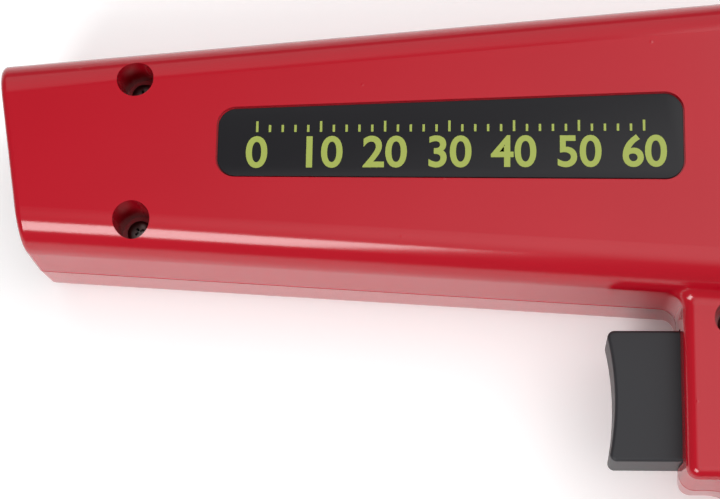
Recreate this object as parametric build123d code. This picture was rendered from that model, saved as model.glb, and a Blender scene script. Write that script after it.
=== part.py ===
from build123d import *
import math
import os

# Pistol-grip timing light, lying on its right side.
# While it is modelled, X runs back from the front of the barrel, Y runs up to the top of the barrel,
# and Z runs out of the left side, with the parting plane at Z = 0. Everything is moved at the end, so
# that the origin is under the middle of the bounding box, on the surface that the right side lies on.
# All sizes are in millimetres.

# ---- driving dimensions: barrel ----
barrel_length = 212.0          # front face to the rear end, along the top
half_width = 22.5              # parting plane to the flat side
front_height = 46.7            # at the front face
front_bottom_y = 1.0           # height of the underside line at X = 0
top_slope = 4.92               # degrees up towards the rear
bottom_slope = 3.5             # degrees down towards the rear
front_slant = 9.6              # degrees that the front face leans forward at the top
rear_lean = 1.5                # how far the rear's lower corner stays in front of its upper corner
barrel_edge_radius = 9.2       # long edges between the sides and the top or underside
rear_top_radius = 26.0
rear_bottom_radius = 14.0
front_rim_radius = 1.5
wall = 2.2
draft = 3.0                    # degrees, moulding draft of top, underside and grip edges
parting_chamfer = 0.3

# ---- driving dimensions: trigger housing and grip ----
grip_half_width = 15.0
guard_front_x = 159.5          # front face of the trigger housing
guard_bottom_y = -51.2
guard_depth = 13.5             # trigger housing's underside, front to back
guard_corner_radius = 3.6
inner_corner_radius = 1.2      # least radius of a corner inside the grip
grip_rake = 13.0               # degrees
grip_length = 72.0             # along the rake, below the trigger housing
grip_depth = 33.0              # front strap to back strap
grip_edge_radius = 2.6
grip_base_radius = 5.5
throat_radius = 8.0            # where the trigger housing's underside turns into the front strap
junction_radius = 4.0          # between barrel and grip
grip_root_y = 12.0             # how far the grip's block reaches up inside the barrel

# ---- driving dimensions: housing screws ----
recess_radius = 4.35
recess_wall = 1.25
barrel_seat_z = 8.0            # where a screw's head sits in the barrel
grip_seat_z = 8.0
seat_thickness = 2.2
boss_radius = 3.6
screw_radius = 1.4
screw_hole_clearance = 0.3
pilot_clearance = 0.05
screw_head_radius = 3.0
screw_head_height = 2.2
screw_engagement = 10.0        # below the parting plane
barrel_screws = [(33.4, 41.4), (33.9, 7.4), (192.0, 46.0)]
guard_screw = (171.5, -14.0)
grip_screw_rise = 20.0         # above the base, along the rake
grip_screw_offset = 6.5        # in front of the grip's centre line

# ---- driving dimensions: labels ----
label_front_x = 53.4
label_length = 107.0
label_front_low_y = 17.7
label_front_high_y = 33.8
label_rear_low_y = 16.75
label_rear_high_y = 37.3
label_corner_radius = 4.2
label_thickness = 0.5
label_recess_depth = 0.9
label_clearance = 0.35

# ---- driving dimensions: lens end ----
fit_clearance = 0.25
lens_edge_thickness = 2.5
lens_dome_height = 5.2
bezel_plate_x = 15.8
bezel_plate_thickness = 2.4
bezel_collar_wall = 1.4
bezel_lip = 1.9                # how far the window's edge covers the lens
lens_radius = min(half_width, front_height / 2) - wall - bezel_collar_wall - 2 * fit_clearance
lens_aperture_radius = lens_radius - bezel_lip
bezel_bevel = 1.0
gasket_thickness = 1.0
gasket_width = 2.0
rib_thickness = 1.6
rib_height = 2.6

# ---- driving dimensions: lamp ----
holder_x = 64.0
holder_thickness = 2.5
reflector_front_x = 44.5
reflector_radius = 15.0
reflector_neck_radius = 6.2
reflector_wall = 0.8
reflector_rim_width = 1.6
tube_radius = 1.6
tube_leg_spacing = 6.4
tube_tip_x = 52.0
seat_length = 9.0
electrode_length = 4.0
electrode_radius = 0.5
trigger_wire_radius = 0.3
trigger_wire_x = 57.5

# ---- driving dimensions: circuit board ----
board_front_x = 82.0
board_length = 84.0
board_low_y = 6.0
board_height = 40.0
board_thickness = 1.6
board_top_z = -12.0
board_screw_inset = 4.5
board_screw_radius = 1.05
board_screw_length = 6.0
board_boss_radius = 2.9
transformer_spot = (112.5, 24.0)
transformer_core = (24.0, 20.0, 7.0)
transformer_leg = 6.0
transformer_side_leg = 3.2
transformer_yoke = 4.0
transformer_lift = 5.0
bobbin_wall = 0.8
winding_depth = 2.2
storage_cap_radius = 8.0
storage_cap_length = 30.0
storage_cap_spot = (127.0, 35.5)
filter_cap_radius = 5.0
filter_cap_height = 16.0
filter_cap_spot = (131.0, 15.0)
coil_radius = 5.2
coil_height = 15.0
coil_spot = (94.5, 37.5)
transistor_spot = (149.0, 13.0)
thyristor_spot = (107.0, 41.0)
diode_spots = [(90.0, 17.0), (94.2, 17.0), (98.4, 17.0)]
small_resistor_spot = (123.0, 14.0)
large_resistor_spot = (102.6, 15.0)
package_width = 10.0            # power transistor
package_depth = 4.4
package_leg_length = 4.0
package_leg_pitch = 2.5
package_top = 13.0
tab_top = 19.0
tab_thickness = 1.3
tab_hole_radius = 1.8
tab_hole_height = 16.0
diode_size = (1.35, 5.2, 10.0)  # body radius and length, and the span over its leads
small_resistor_size = (1.2, 6.5, 11.0)
large_resistor_size = (1.6, 9.0, 13.0)
heat_sink_size = (22.0, 12.0, 20.0)
heat_sink_wall = 1.5

# ---- driving dimensions: trigger and switch ----
trigger_travel = 4.0
trigger_half_width = 7.5
trigger_top_y = -15.3
trigger_bottom_y = -45.7
trigger_reach = 16.6           # in front of the trigger housing, at the top corner
trigger_hollow = 1.9           # depth of the concave front
trigger_corner_radius = 1.6
trigger_edge_radius = 0.8
trigger_slot_clearance = 0.35
flange_gap = 0.3               # behind the trigger housing's front wall
flange_thickness = 2.6
flange_overlap = 2.0
flange_top_y = -21.0
stem_radius = 3.0
stem_length = 7.5
spring_y = -24.8
spring_coil_radius = 3.9
spring_wire_radius = 0.4
spring_turns = 8
spring_rib_x = 184.0
spring_rib_thickness = 1.8
lug_y = -33.0
lug_half_height = 1.5
lug_half_width = 2.0
lug_gap = 0.3
lever_pivot_x = 179.5
lever_arm = 15.3               # pivot to the lug's height
lever_length = 17.6
lever_thickness = 0.6
lever_half_width = 2.0
lever_rest_angle = 16.0        # degrees in front of the switch's face
lever_knuckle_radius = 1.2
pin_radius = 0.5
pin_clearance = 0.04
switch_face_gap = 1.4          # lever pivot to the switch's face
switch_size = (10.0, 20.0, 6.4)
switch_below_pivot = 1.7
plunger_arm = 5.5
plunger_radius = 0.9
plunger_length = 5.0
plunger_clearance = 0.06
plunger_tip_gap = 0.26
ear_thickness = 0.9
terminal_size = (6.0, 3.0, 0.5)
terminal_heights = (3.0, 9.0, 17.0)
switch_screw_radius = 1.05
switch_screw_heights = (5.2, 14.8)
switch_screw_setback = 7.0

# ---- driving dimensions: leads ----
board_edge_inset = 1.8
lamp_lead_radius = 0.7
lamp_lead_rise = 11.0
lamp_lead_pitch = 9.0
lamp_lead_straight = 3.2
switch_lead_radius = 0.7
switch_lead_offset = 2.3
switch_lead_lap = 0.3
switch_lead_spread = 2.6
switch_lead_straight = 1.7
switch_lead_lean = 8.0

# ---- driving dimensions: cable grommet ----
cable_bore_radius = 3.6
grommet_length = 10.0
grommet_neck_radius = 5.5
grommet_flange_radius = 7.4
grommet_flange_thickness = 2.0
grommet_clearance = 0.1
far = 400.0                    # longer than anything in the object


# ---- helpers ----
def top_y(x):
    return front_bottom_y + front_height + x * math.tan(math.radians(top_slope))


def bottom_y(x):
    return front_bottom_y - x * math.tan(math.radians(bottom_slope))


def rounded_face(points, radii):
    return make_face(FilletPolyline(*points, radius=radii, close=True))


def slab(x_low, x_high, y_low, y_high, z_low, z_high):
    size = (x_high - x_low, y_high - y_low, z_high - z_low)
    middle = ((x_low + x_high) / 2, (y_low + y_high) / 2, (z_low + z_high) / 2)
    return Pos(*middle) * Box(*size)


def rod_z(x, y, radius, z_low, z_high):
    return Pos(x, y, (z_low + z_high) / 2) * Cylinder(radius, z_high - z_low)


def rod_x(y, z, radius, x_low, x_high):
    return Pos((x_low + x_high) / 2, y, z) * Rot(0, 90, 0) * Cylinder(radius, x_high - x_low)


def both_sides(half):
    return half + mirror(half, about=Plane.XY)


def wire_along(points, radii, radius):
    path = FilletPolyline(*points, radius=radii)
    start = Plane(origin=path @ 0, z_dir=path % 0)
    return sweep(start * Circle(radius), path=path)


# ---- housing shells ----
def barrel_half(inset):
    """The barrel's left half as a solid, drawn in from its surface by inset and run out past its front."""
    ahead = -2 * barrel_edge_radius
    lift = inset / math.cos(math.radians(top_slope))
    rear = barrel_length - inset
    corners = [
        (ahead, bottom_y(ahead) + lift),
        (rear - rear_lean, bottom_y(rear) + lift),
        (rear, top_y(rear) - lift),
        (ahead, top_y(ahead) - lift),
    ]
    radii = [3.0, rear_bottom_radius - inset, rear_top_radius - inset, 3.0]
    half = extrude(rounded_face(corners, radii), amount=half_width - inset, taper=draft)
    side = half.faces().sort_by(Axis.Z)[-1]
    return fillet(side.edges(), barrel_edge_radius - inset)


def front_cut():
    """Everything in front of the slanted front face."""
    lean = math.tan(math.radians(front_slant))
    top = top_y(0)
    high = (-far * lean, top + far)
    low = (far * lean, top - far)
    outline = Polyline((-far, top + far), high, low, (-far, top - far), close=True)
    return extrude(make_face(outline), amount=far, both=True)


def grip_frame():
    """The base's front and rear corners and its middle, with the directions down and across the grip."""
    rake = math.radians(grip_rake)
    down = Vector(math.sin(rake), -math.cos(rake))
    across = Vector(math.cos(rake), math.sin(rake))
    throat = Vector(guard_front_x + guard_depth, guard_bottom_y)
    base_front = throat + down * grip_length
    base_rear = base_front + across * grip_depth
    return throat, base_front, base_rear, (base_front + base_rear) * 0.5, down, across


def grip_outline(inset):
    """Side view of the trigger housing and grip, drawn in from their surface by inset."""
    throat, base_front, base_rear, middle, down, across = grip_frame()
    slide = (inset - inset * across.Y) / down.Y
    turn = throat + across * inset + down * slide
    low_front = base_front + across * inset - down * inset
    low_rear = base_rear - across * inset - down * inset
    root_y = grip_root_y - inset
    root_rear_x = low_rear.X - (root_y - low_rear.Y) * math.tan(math.radians(grip_rake))
    corners = [
        (guard_front_x + inset, root_y),
        (guard_front_x + inset, guard_bottom_y + inset),
        (turn.X, turn.Y),
        (low_front.X, low_front.Y),
        (low_rear.X, low_rear.Y),
        (root_rear_x, root_y),
    ]
    guard_radius = max(guard_corner_radius - inset, inner_corner_radius)
    base_radius = max(grip_base_radius - inset, inner_corner_radius)
    root_radius = inner_corner_radius
    radii = [root_radius, guard_radius, throat_radius + inset, base_radius, base_radius, root_radius]
    return rounded_face(corners, radii)


def grip_half():
    half = extrude(grip_outline(0), amount=grip_half_width, taper=draft)
    side = half.faces().sort_by(Axis.Z)[-1]
    return fillet(side.edges(), grip_edge_radius)


def outer_half():
    """Barrel and grip as one solid half, with the junction between them rounded."""
    barrel = barrel_half(0) - front_cut()
    front = barrel.faces().sort_by(Axis.X)[0]
    rim = [edge for edge in front.edges() if edge.center().Z > 0.01]
    barrel = fillet(rim, front_rim_radius)
    grip = grip_half()
    body = barrel + grip
    seam = new_edges(barrel, grip, combined=body)
    seam = [edge for edge in seam if edge.center().Z > 0.01]
    body = fillet(seam, junction_radius)
    parting = body.faces().sort_by(Axis.Z)[0]
    return chamfer(parting.edges(), parting_chamfer)


def cavity_half():
    return barrel_half(wall) + extrude(grip_outline(wall), amount=grip_half_width - wall, taper=draft)


def rib_frame(x_low, x_high):
    """A rib that follows the inside of the barrel between two X positions."""
    space = barrel_half(wall - 0.2) - barrel_half(wall + rib_height)
    return space & slab(x_low, x_high, -far, far, 0, half_width)


def lens_end_stops():
    front_rib = bezel_plate_x - fit_clearance
    rear_rib = collar_rear_x + fit_clearance
    return [(front_rib - rib_thickness, front_rib), (rear_rib, rear_rib + rib_thickness)]


def holder_stops():
    low = holder_x - fit_clearance
    high = holder_x + holder_thickness + fit_clearance
    return [(low - rib_thickness, low), (high, high + rib_thickness)]


def label_face(grow):
    front = label_front_x - grow
    rear = label_front_x + label_length + grow
    corners = [
        (front, label_front_low_y - grow),
        (rear, label_rear_low_y - grow),
        (rear, label_rear_high_y + grow),
        (front, label_front_high_y + grow),
    ]
    return rounded_face(corners, [label_corner_radius + grow] * len(corners))


def label_plate():
    plate_z = half_width - label_recess_depth
    return Pos(0, 0, plate_z) * extrude(label_face(0), amount=label_thickness)


def label_recess():
    recess_z = half_width - label_recess_depth
    return Pos(0, 0, recess_z) * extrude(label_face(label_clearance), amount=far)


def screw_places():
    """Each housing screw's place, with its seat's height and the height of the surface it is sunk in."""
    throat, base_front, base_rear, middle, down, across = grip_frame()
    low = middle - down * grip_screw_rise - across * grip_screw_offset
    places = [(x, y, barrel_seat_z, half_width) for x, y in barrel_screws]
    places.append((*guard_screw, grip_seat_z, grip_half_width))
    places.append((low.X, low.Y, grip_seat_z, grip_half_width))
    return places


def left_bosses():
    bosses = []
    for x, y, seat, surface in screw_places():
        tube = rod_z(x, y, recess_radius + recess_wall, seat - seat_thickness, surface)
        bosses.append(tube + rod_z(x, y, boss_radius, 0, seat))
    return bosses


def left_screw_holes():
    holes = []
    for x, y, seat, surface in screw_places():
        shank = rod_z(x, y, screw_radius + screw_hole_clearance, -1, seat + 1)
        holes.append(shank + rod_z(x, y, recess_radius, seat, far))
    return holes


def right_bosses():
    return [rod_z(x, y, boss_radius, wall / 2 - surface, 0) for x, y, seat, surface in screw_places()]


def right_pilot_holes():
    depth = -screw_engagement - 1
    return [rod_z(x, y, screw_radius + pilot_clearance, depth, 1) for x, y, seat, surface in screw_places()]


def board_screw_places():
    xs = (board_front_x + board_screw_inset, board_front_x + board_length - board_screw_inset)
    ys = (board_low_y + board_screw_inset, board_low_y + board_height - board_screw_inset)
    return [(x, y) for x in xs for y in ys]


def board_posts():
    underside = board_top_z - board_thickness
    posts = []
    for x, y in board_screw_places():
        post = rod_z(x, y, board_boss_radius, wall / 2 - half_width, underside)
        low = board_top_z - board_screw_length - 0.5
        posts.append(post - rod_z(x, y, board_screw_radius + pilot_clearance, low, 0))
    return posts


def switch_screw_places():
    x = switch_face_x + switch_screw_setback
    return [(x, switch_low_y + height) for height in switch_screw_heights]


def switch_posts():
    top = -switch_size[2] / 2 - 0.1
    posts = []
    for x, y in switch_screw_places():
        post = rod_z(x, y, 2.4, wall / 2 - grip_half_width, top)
        low = top - board_screw_length
        posts.append(post - rod_z(x, y, switch_screw_radius + pilot_clearance, low, 0))
    return posts


def spring_rib():
    half = spring_coil_radius + spring_wire_radius + 0.6
    rear = spring_rib_x + spring_rib_thickness
    return slab(spring_rib_x, rear, spring_y - half, spring_y + half, wall / 2 - grip_half_width, half)


def trigger_slot():
    gap = trigger_slot_clearance
    side = trigger_half_width + gap
    low = trigger_bottom_y - gap
    high = trigger_top_y + gap
    return slab(guard_front_x - 1, guard_front_x + wall + 1, low, high, -side, side)


def grommet_hole():
    throat, base_front, base_rear, middle, down, across = grip_frame()
    place = Plane(origin=(middle.X, middle.Y, 0), z_dir=(down.X, down.Y, 0))
    return place * Cylinder(grommet_neck_radius + grommet_clearance, 6 * wall)


def shell_half(outer):
    shell = outer - cavity_half()
    for x_low, x_high in lens_end_stops() + holder_stops():
        shell += rib_frame(x_low, x_high)
    return shell


def left_housing(outer, shell):
    for boss in left_bosses():
        shell += boss & outer
    for hole in left_screw_holes():
        shell -= hole
    return shell - label_recess() - trigger_slot() - grommet_hole()


def right_housing(outer, shell):
    outer = mirror(outer, about=Plane.XY)
    shell = mirror(shell, about=Plane.XY)
    for boss in right_bosses() + board_posts() + switch_posts():
        shell += boss & outer
    shell += spring_rib()
    for hole in right_pilot_holes():
        shell -= hole
    return shell - mirror(label_recess(), about=Plane.XY) - trigger_slot() - grommet_hole()


def pan_screw(x, y, seat, tip, shank_radius, head_radius, head_height):
    """A cross-head screw whose head sits on Z = seat and whose point is at Z = tip."""
    screw = rod_z(x, y, shank_radius, tip, seat) + rod_z(x, y, head_radius, seat, seat + head_height)
    crown = screw.edges().filter_by(GeomType.CIRCLE).sort_by(Axis.Z)[-1]
    screw = fillet(crown, head_height * 0.45)
    slot_length = head_radius * 1.1
    slot_width = head_radius * 0.24
    floor = seat + head_height * 0.4
    for length, width in ((slot_length, slot_width), (slot_width, slot_length)):
        screw -= Pos(x, y, floor + head_height / 2) * Box(length, width, head_height)
    return screw


def housing_screws():
    return [
        pan_screw(x, y, seat, -screw_engagement, screw_radius, screw_head_radius, screw_head_height)
        for x, y, seat, surface in screw_places()
    ]


# ---- lens end ----
lens_axis_y = (top_y(bezel_plate_x) + bottom_y(bezel_plate_x)) / 2
collar_rear_x = bezel_plate_x + bezel_plate_thickness + lens_edge_thickness + gasket_thickness + 0.4
lens_front_x = bezel_plate_x + bezel_plate_thickness + 0.1


def lens_bezel():
    """Plate that fills the barrel, with a round window and a collar behind it for the lens."""
    section = slab(bezel_plate_x, bezel_plate_x + bezel_plate_thickness, -far, far, 0, half_width)
    plate = both_sides(barrel_half(wall + fit_clearance) & section)
    seat = lens_radius + fit_clearance
    collar = rod_x(lens_axis_y, 0, seat + bezel_collar_wall, bezel_plate_x, collar_rear_x)
    collar -= rod_x(lens_axis_y, 0, seat, bezel_plate_x + bezel_plate_thickness, collar_rear_x + 1)
    bezel = plate + collar - rod_x(lens_axis_y, 0, lens_aperture_radius, 0, collar_rear_x)
    bevel = Cone(lens_aperture_radius + bezel_bevel, lens_aperture_radius, bezel_bevel)
    return bezel - Pos(bezel_plate_x + bezel_bevel / 2, lens_axis_y, 0) * Rot(0, 90, 0) * bevel


def front_lens():
    """Plano-convex lens with its dome towards the front."""
    base_radius = lens_aperture_radius - 2 * fit_clearance
    sphere_radius = (base_radius ** 2 + lens_dome_height ** 2) / (2 * lens_dome_height)
    centre_x = lens_front_x - lens_dome_height + sphere_radius
    dome = Pos(centre_x, lens_axis_y, 0) * Sphere(sphere_radius)
    dome &= rod_x(lens_axis_y, 0, base_radius, lens_front_x - lens_dome_height - 1, lens_front_x + 1)
    disc = rod_x(lens_axis_y, 0, lens_radius, lens_front_x, lens_front_x + lens_edge_thickness)
    return dome + disc


def lens_gasket():
    low = lens_front_x + lens_edge_thickness + 0.05
    ring = rod_x(lens_axis_y, 0, lens_radius, low, low + gasket_thickness)
    return ring - rod_x(lens_axis_y, 0, lens_radius - gasket_width, low - 1, low + gasket_thickness + 1)


# ---- lamp ----
def reflector():
    """Parabolic bowl with a rim in front and a neck that sits in the holder."""
    focal = (reflector_radius ** 2 - reflector_neck_radius ** 2) / (4 * (holder_x - reflector_front_x))
    deep = reflector_neck_radius ** 2 / (4 * focal)
    vertex_x = holder_x + deep
    wide = vertex_x - reflector_front_x

    def bowl_line(grow):
        start = (vertex_x - deep, reflector_neck_radius + grow)
        middle = (vertex_x - math.sqrt(deep * wide), (reflector_neck_radius + reflector_radius) / 2 + grow)
        end = (vertex_x - wide, reflector_radius + grow)
        return Bezier(start, middle, end)

    inside = bowl_line(0)
    outside = bowl_line(reflector_wall)
    outline = [
        inside,
        Line(inside @ 1, outside @ 1),
        outside,
        Line(outside @ 0, inside @ 0),
    ]
    section = make_face(outline)
    bowl = revolve(section, axis=Axis.X)
    rim_rear_x = reflector_front_x + reflector_wall
    rim = rod_x(0, 0, reflector_radius + reflector_rim_width, reflector_front_x, rim_rear_x)
    rim -= rod_x(0, 0, reflector_radius, reflector_front_x - 1, reflector_front_x + 2)
    neck_outside = reflector_neck_radius + reflector_wall
    neck = rod_x(0, 0, neck_outside, holder_x - reflector_wall, holder_x + seat_length / 2)
    neck -= rod_x(0, 0, reflector_neck_radius, holder_x - 2, holder_x + seat_length)
    return Pos(0, lens_axis_y, 0) * (bowl + rim + neck)


def reflector_holder():
    """Plate that stands across the barrel and holds the reflector by its neck."""
    section = slab(holder_x, holder_x + holder_thickness, -far, far, 0, half_width)
    plate = both_sides(barrel_half(wall + fit_clearance) & section)
    neck = reflector_neck_radius + reflector_wall + grommet_clearance
    return plate - rod_x(lens_axis_y, 0, neck, holder_x - 1, holder_x + holder_thickness + 1)


def leg_heights():
    return (lens_axis_y - tube_leg_spacing / 2, lens_axis_y + tube_leg_spacing / 2)


def flash_tube():
    """U-shaped xenon tube with its bend towards the front."""
    low, high = leg_heights()
    bend_x = tube_tip_x + tube_radius + tube_leg_spacing / 2
    rear = holder_x + seat_length - 1
    tip = bend_x - tube_leg_spacing / 2
    legs = [Line((rear, low), (bend_x, low)), Line((bend_x, high), (rear, high))]
    bend = ThreePointArc((bend_x, low), (tip, lens_axis_y), (bend_x, high))
    path = Wire([legs[0], bend, legs[1]])
    return sweep(Plane(origin=(rear, low, 0), z_dir=(-1, 0, 0)) * Circle(tube_radius), path=path)


def tube_electrodes():
    start = holder_x + seat_length - 1
    return [rod_x(y, 0, electrode_radius, start, start + electrode_length) for y in leg_heights()]


def tube_seat():
    """Soft plug in the reflector's neck that holds the tube's legs and its trigger wire."""
    plug = rod_x(lens_axis_y, 0, reflector_neck_radius - 0.05, holder_x, holder_x + seat_length)
    for y in leg_heights():
        plug -= rod_x(y, 0, tube_radius + 0.05, holder_x - 1, holder_x + seat_length + 1)
    return plug - rod_x(lens_axis_y, 0, trigger_wire_radius + 0.1, holder_x - 1, holder_x + seat_length + 1)


def tube_trigger_wire():
    """Fine wire looped round both legs of the tube, with its tail out through the seat."""
    loop_radius = tube_radius + trigger_wire_radius + 0.1
    low, high = leg_heights()
    tail_x = holder_x + seat_length + electrode_length
    wire = rod_x(lens_axis_y, 0, trigger_wire_radius, trigger_wire_x, tail_x)
    for y in (low, high):
        wire += Pos(trigger_wire_x, y, 0) * Rot(0, 90, 0) * Torus(loop_radius, trigger_wire_radius)
    bridge = high - low - 2 * loop_radius
    wire += Pos(trigger_wire_x, lens_axis_y, 0) * Rot(90, 0, 0) * Cylinder(trigger_wire_radius, bridge)
    return wire


# ---- circuit board and what stands on it ----
def circuit_board():
    low_z = board_top_z - board_thickness
    rear = board_front_x + board_length
    board = slab(board_front_x, rear, board_low_y, board_low_y + board_height, low_z, board_top_z)
    board = fillet(board.edges().filter_by(Axis.Z), 1.5)
    for x, y in board_screw_places():
        board -= rod_z(x, y, board_screw_radius + screw_hole_clearance, low_z - 1, board_top_z + 1)
    return board


def board_screws():
    tip = board_top_z - board_screw_length
    return [pan_screw(x, y, board_top_z, tip, board_screw_radius, 2.2, 1.6) for x, y in board_screw_places()]


def transformer_centre():
    x, y = transformer_spot
    return x, y, board_top_z + transformer_lift + transformer_core[2] / 2


def transformer_frame():
    """Ferrite core: a flat block with a window each side of its middle leg."""
    x, y, z = transformer_centre()
    length, height, depth = transformer_core
    core = Box(length, height, depth)
    window = height / 2 - transformer_side_leg - transformer_leg / 2
    offset_y = transformer_leg / 2 + window / 2
    for side in (-1, 1):
        core -= Pos(0, side * offset_y, 0) * Box(length - 2 * transformer_yoke, window, depth + 2)
    return Pos(x, y, z) * core


def transformer_tube(inner_y, inner_z, wall_size, length):
    """A rectangular tube round the core's middle leg."""
    outside = Box(length, inner_y + 2 * wall_size, inner_z + 2 * wall_size)
    return outside - Box(length + 1, inner_y, inner_z)


def transformer_bobbin():
    x, y, z = transformer_centre()
    length = transformer_core[0] - 2 * transformer_yoke - 0.4
    inner_y = transformer_leg + 0.2
    inner_z = transformer_core[2] + 0.2
    bobbin = transformer_tube(inner_y, inner_z, bobbin_wall, length)
    window = transformer_core[1] / 2 - transformer_side_leg - transformer_leg / 2
    for side in (-1, 1):
        cheek = transformer_tube(inner_y, inner_z, window - 0.3, bobbin_wall)
        bobbin += Pos(side * (length - bobbin_wall) / 2, 0, 0) * cheek
    return Pos(x, y, z) * bobbin


def transformer_winding():
    x, y, z = transformer_centre()
    length = transformer_core[0] - 2 * transformer_yoke - 0.4 - 2 * bobbin_wall - 0.2
    inner_y = transformer_leg + 0.2 + 2 * bobbin_wall + 0.1
    inner_z = transformer_core[2] + 0.2 + 2 * bobbin_wall + 0.1
    winding = transformer_tube(inner_y, inner_z, winding_depth, length)
    corners = [edge for edge in winding.edges().filter_by(Axis.X) if abs(edge.center().Y) > inner_y / 2 + 1]
    return Pos(x, y, z) * fillet(corners, 1.4)


def capacitor_can(radius, length):
    """A rolled-over aluminium can standing on Z = 0, with the groove near its base."""
    can = Pos(0, 0, length / 2) * Cylinder(radius, length)
    can = fillet(can.edges().filter_by(GeomType.CIRCLE), 0.6)
    groove = Torus(radius + 0.3, 0.8)
    return can - Pos(0, 0, 2.6) * groove


def storage_capacitor():
    x, y = storage_cap_spot
    can = capacitor_can(storage_cap_radius, storage_cap_length)
    return Pos(x, y, board_top_z + storage_cap_radius + 0.2) * Rot(0, 90, 0) * can


def filter_capacitor():
    x, y = filter_cap_spot
    return Pos(x, y, board_top_z) * capacitor_can(filter_cap_radius, filter_cap_height)


def trigger_coil():
    """Potted ignition coil: a round bobbin with a flange at each end."""
    x, y = coil_spot
    coil = Pos(0, 0, coil_height / 2) * Cylinder(coil_radius - 1.0, coil_height)
    for z in (0.6, coil_height - 0.6):
        coil += Pos(0, 0, z) * Cylinder(coil_radius, 1.2)
    return Pos(x, y, board_top_z) * coil


def tab_package(x, y):
    """Upright three-leg package with a metal tab and a round hole."""
    half = package_width / 2
    rear = package_depth / 2
    front = rear - tab_thickness
    body = slab(-half, half, -rear, rear, package_leg_length, package_top)
    tab = slab(-half, half, front, rear, package_top, tab_top)
    hole = Rot(90, 0, 0) * Cylinder(tab_hole_radius, package_depth)
    package = body + tab - Pos(0, (front + rear) / 2, tab_hole_height) * hole
    for leg in (-package_leg_pitch, 0, package_leg_pitch):
        package += slab(leg - 0.4, leg + 0.4, -0.3, 0.3, 0, package_leg_length)
    return Pos(x, y, board_top_z) * package


def power_transistor():
    x, y = transistor_spot
    return tab_package(x, y)


def heat_sink():
    """Folded aluminium channel behind the power transistor."""
    x, y = transistor_spot
    width, depth, height = heat_sink_size
    channel = slab(-width / 2, width / 2, 0, depth, 0, height)
    inside = width / 2 - heat_sink_wall
    channel -= slab(-inside, inside, heat_sink_wall, depth + 1, -1, height + 1)
    hole = Cylinder(tab_hole_radius, 2 * heat_sink_wall)
    hole = Pos(0, heat_sink_wall / 2, tab_hole_height) * Rot(90, 0, 0) * hole
    return Pos(x, y + package_depth / 2 + 0.05, board_top_z) * (channel - hole)


def axial_part(x, y, body_radius, body_length, span):
    """A lying component, along Y, with its two leads bent down to the board."""
    lead = 0.4
    lift = body_radius + 0.5
    part = Rot(90, 0, 0) * Cylinder(body_radius, body_length)
    part += Rot(90, 0, 0) * Cylinder(lead, span)
    for end in (-span / 2, span / 2):
        part += Pos(0, end, -lift / 2) * Cylinder(lead, lift)
        part += Pos(0, end, 0) * Sphere(lead)
    return Pos(x, y, board_top_z + lift) * part


def rectifier_diodes():
    return [axial_part(*spot, *diode_size) for spot in diode_spots]


def resistors():
    small = axial_part(*small_resistor_spot, *small_resistor_size)
    large = axial_part(*large_resistor_spot, *large_resistor_size)
    return [small, large]


def thyristor():
    """Small round-backed package on three legs."""
    x, y = thyristor_spot
    body = Pos(0, 0, 6.5) * Cylinder(2.4, 5.0) - slab(-4, 4, -4, -1.1, 0, 12)
    for leg in (-1.3, 0, 1.3):
        body += slab(leg - 0.25, leg + 0.25, -0.25, 0.25, 0, 4)
    return Pos(x, y, board_top_z) * body


# ---- trigger ----
def trigger_button():
    """Push trigger with a hollow front, a retaining flange, a spring stem and a lug for the switch."""
    front = guard_front_x - trigger_reach
    low = trigger_bottom_y
    high = trigger_top_y
    inner = flange_front_x()
    outline = [
        ThreePointArc((front, high), (front + trigger_hollow, (high + low) / 2), (front + 0.3, low)),
        Line((front + 0.3, low), (inner, low)),
        Line((inner, low), (inner, high)),
        Line((inner, high), (front, high)),
    ]
    button = extrude(make_face(outline), amount=trigger_half_width, both=True)
    corners = [edge for edge in button.edges().filter_by(Axis.Z) if edge.center().X < front + 1]
    button = fillet(corners, trigger_corner_radius)
    skirt = slab(inner - 0.8, inner + 1, flange_top_y, high + 1, -far, far)
    outer_edges = [edge for edge in button.edges() if edge.center().X < inner - 1]
    outer_edges = [edge for edge in outer_edges if abs(edge.center().Z) > 1]
    button = fillet(outer_edges, trigger_edge_radius) - skirt
    flange_side = trigger_half_width + flange_overlap
    flange_low = low - flange_overlap
    button += slab(inner, inner + flange_thickness, flange_low, flange_top_y, -flange_side, flange_side)
    rear = inner + flange_thickness
    button += rod_x(spring_y, 0, stem_radius, inner, rear + stem_length)
    nose_x = lug_nose_x()
    lug_low = lug_y - lug_half_height
    lug_high = lug_y + lug_half_height
    button += slab(inner, nose_x, lug_low, lug_high, -lug_half_width, lug_half_width)
    button += rod_z(nose_x, lug_y, lug_half_height, -lug_half_width, lug_half_width)
    return button


def flange_front_x():
    """Behind the drafted front wall, with the flange's sides where the wall leans furthest in."""
    lean = (trigger_half_width + flange_overlap) * math.tan(math.radians(draft))
    return guard_front_x + wall + lean + flange_gap


def lug_nose_x():
    """Centre of the lug's round nose, one gap in front of the lever at rest."""
    rest = math.radians(lever_rest_angle)
    reach = lug_half_height + lug_gap + lever_thickness / 2 + lever_arm * math.sin(rest)
    return lever_pivot_x - reach / math.cos(rest)


def trigger_spring():
    """Return spring between the trigger's flange and the rib in the right housing."""
    start = flange_front_x() + flange_thickness + spring_wire_radius + 0.1
    length = spring_rib_x - start - spring_wire_radius - 0.1
    path = Helix(pitch=length / spring_turns, height=length, radius=spring_coil_radius)
    place = Plane(origin=path @ 0, z_dir=path % 0)
    coil = sweep(place * Circle(spring_wire_radius), path=path, is_frenet=True)
    return Pos(start, spring_y, 0) * Rot(0, 90, 0) * coil


# ---- switch ----
switch_face_x = lever_pivot_x + switch_face_gap
lever_pivot_y = lug_y - lever_arm
switch_low_y = lever_pivot_y - switch_below_pivot


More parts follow.
